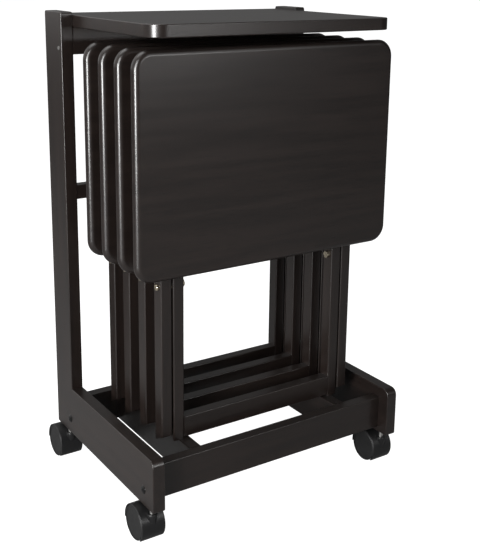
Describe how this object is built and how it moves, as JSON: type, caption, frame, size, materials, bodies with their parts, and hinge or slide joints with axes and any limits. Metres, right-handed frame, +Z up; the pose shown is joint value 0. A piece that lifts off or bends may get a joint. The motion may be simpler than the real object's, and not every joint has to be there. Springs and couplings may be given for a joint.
{
  "type": "folding tray table set on a rolling rack",
  "caption": "Folding tray tables with crossed legs, hung upright in a rolling wooden rack with a top shelf and twin-wheel swivel casters.",
  "frame": {"origin": "centre of the bounding box on the floor", "axes": "+Z up, +X to the right, the trays face -Y"},
  "size_m": [0.5246, 0.4034, 0.8282],
  "materials": {
    "espresso_wood": "satin lacquer",
    "tray_wood": "satin lacquer",
    "raw_beech": "unfinished",
    "black_plastic": "matte",
    "caster_wheel": "matte",
    "bolt_steel": "zinc plated",
    "pivot_steel": "plated"
  },
  "bodies": {
    "rack": {"right_side": "espresso_wood", "left_side": "espresso_wood", "front_rail": "espresso_wood", "rear_rail": "espresso_wood", "middle_rail": "espresso_wood", "upper_rail": "espresso_wood", "right_bearer": "espresso_wood", "left_bearer": "espresso_wood", "shelf": "espresso_wood", "rail_bolts": "bolt_steel", "barrel_nuts": "bolt_steel", "bolt_caps": "black_plastic", "dowels": "raw_beech", "caster_sockets": "black_plastic"},
    "front_left_caster": {"front_left_hood": "black_plastic", "front_left_pins": "bolt_steel"},
    "front_left_wheel_l": {"front_left_wheel_l": "caster_wheel"},
    "front_left_wheel_r": {"front_left_wheel_r": "caster_wheel"},
    "front_right_caster": {"front_right_hood": "black_plastic", "front_right_pins": "bolt_steel"},
    "front_right_wheel_l": {"front_right_wheel_l": "caster_wheel"},
    "front_right_wheel_r": {"front_right_wheel_r": "caster_wheel"},
    "rear_left_caster": {"rear_left_hood": "black_plastic", "rear_left_pins": "bolt_steel"},
    "rear_left_wheel_l": {"rear_left_wheel_l": "caster_wheel"},
    "rear_left_wheel_r": {"rear_left_wheel_r": "caster_wheel"},
    "rear_right_caster": {"rear_right_hood": "black_plastic", "rear_right_pins": "bolt_steel"},
    "rear_right_wheel_l": {"rear_right_wheel_l": "caster_wheel"},
    "rear_right_wheel_r": {"rear_right_wheel_r": "caster_wheel"},
    "table_1": {"tray_1": "tray_wood", "cleats_1": "espresso_wood", "outer_legs_1": "espresso_wood", "hinge_rod_1": "espresso_wood", "inner_legs_1": "espresso_wood", "inner_rails_1": "espresso_wood", "pivot_bolts_1": "pivot_steel"},
    "table_2": {"tray_2": "tray_wood", "cleats_2": "espresso_wood", "outer_legs_2": "espresso_wood", "hinge_rod_2": "espresso_wood", "inner_legs_2": "espresso_wood", "inner_rails_2": "espresso_wood", "pivot_bolts_2": "pivot_steel"},
    "table_3": {"tray_3": "tray_wood", "cleats_3": "espresso_wood", "outer_legs_3": "espresso_wood", "hinge_rod_3": "espresso_wood", "inner_legs_3": "espresso_wood", "inner_rails_3": "espresso_wood", "pivot_bolts_3": "pivot_steel"},
    "table_4": {"outer_legs_4": "espresso_wood", "hinge_rod_4": "espresso_wood"},
    "table_4_tray": {"tray_4": "tray_wood", "cleats_4": "espresso_wood"},
    "table_4_inner_frame": {"inner_legs_4": "espresso_wood", "inner_rails_4": "espresso_wood", "pivot_bolts_4": "pivot_steel"}
  },
  "joints": [
    {"name": "front_left_swivel", "type": "hinge", "parent": "rack", "child": "front_left_caster", "pos_m": [-0.24125, -0.17675, 0.064], "axis": [0, 0, 1], "continuous": true},
    {"name": "front_left_roll_l", "type": "hinge", "parent": "front_left_caster", "child": "front_left_wheel_l", "pos_m": [-0.24125, -0.15175, 0.0285], "axis": [1, 0, 0], "continuous": true},
    {"name": "front_left_roll_r", "type": "hinge", "parent": "front_left_caster", "child": "front_left_wheel_r", "pos_m": [-0.24125, -0.15175, 0.0285], "axis": [1, 0, 0], "continuous": true},
    {"name": "front_right_swivel", "type": "hinge", "parent": "rack", "child": "front_right_caster", "pos_m": [0.24125, -0.17675, 0.064], "axis": [0, 0, 1], "continuous": true},
    {"name": "front_right_roll_l", "type": "hinge", "parent": "front_right_caster", "child": "front_right_wheel_l", "pos_m": [0.24125, -0.15175, 0.0285], "axis": [1, 0, 0], "continuous": true},
    {"name": "front_right_roll_r", "type": "hinge", "parent": "front_right_caster", "child": "front_right_wheel_r", "pos_m": [0.24125, -0.15175, 0.0285], "axis": [1, 0, 0], "continuous": true},
    {"name": "rear_left_swivel", "type": "hinge", "parent": "rack", "child": "rear_left_caster", "pos_m": [-0.24125, 0.14525, 0.064], "axis": [0, 0, 1], "continuous": true},
    {"name": "rear_left_roll_l", "type": "hinge", "parent": "rear_left_caster", "child": "rear_left_wheel_l", "pos_m": [-0.24125, 0.17025, 0.0285], "axis": [1, 0, 0], "continuous": true},
    {"name": "rear_left_roll_r", "type": "hinge", "parent": "rear_left_caster", "child": "rear_left_wheel_r", "pos_m": [-0.24125, 0.17025, 0.0285], "axis": [1, 0, 0], "continuous": true},
    {"name": "rear_right_swivel", "type": "hinge", "parent": "rack", "child": "rear_right_caster", "pos_m": [0.24125, 0.14525, 0.064], "axis": [0, 0, 1], "continuous": true},
    {"name": "rear_right_roll_l", "type": "hinge", "parent": "rear_right_caster", "child": "rear_right_wheel_l", "pos_m": [0.24125, 0.17025, 0.0285], "axis": [1, 0, 0], "continuous": true},
    {"name": "rear_right_roll_r", "type": "hinge", "parent": "rear_right_caster", "child": "rear_right_wheel_r", "pos_m": [0.24125, 0.17025, 0.0285], "axis": [1, 0, 0], "continuous": true},
    {"name": "table_1_lift", "type": "slide", "parent": "rack", "child": "table_1", "axis": [0, 0, 1], "range_m": [0, 0.015]},
    {"name": "table_2_lift", "type": "slide", "parent": "rack", "child": "table_2", "axis": [0, 0, 1], "range_m": [0, 0.015]},
    {"name": "table_3_lift", "type": "slide", "parent": "rack", "child": "table_3", "axis": [0, 0, 1], "range_m": [0, 0.015]},
    {"name": "table_4_pull", "type": "slide", "parent": "rack", "child": "table_4", "axis": [0, -0.9996, 0.03], "range_m": [0, 0.32]},
    {"name": "table_4_tray_raise", "type": "hinge", "parent": "table_4", "child": "table_4_tray", "pos_m": [0, -0.11275, 0.7452], "axis": [-1, 0, 0], "range_deg": [0, 90]},
    {"name": "table_4_legs_open", "type": "hinge", "parent": "table_4", "child": "table_4_inner_frame", "pos_m": [0, -0.11275, 0.4046], "axis": [1, 0, 0], "range_deg": [0, 9]}
  ],
  "couplings": [
    {"joint": "table_4_tray_raise", "follows": "table_4_pull", "rad_per_m": 4.9033},
    {"joint": "table_4_legs_open", "follows": "table_4_pull", "rad_per_m": 0.49033}
  ]
}
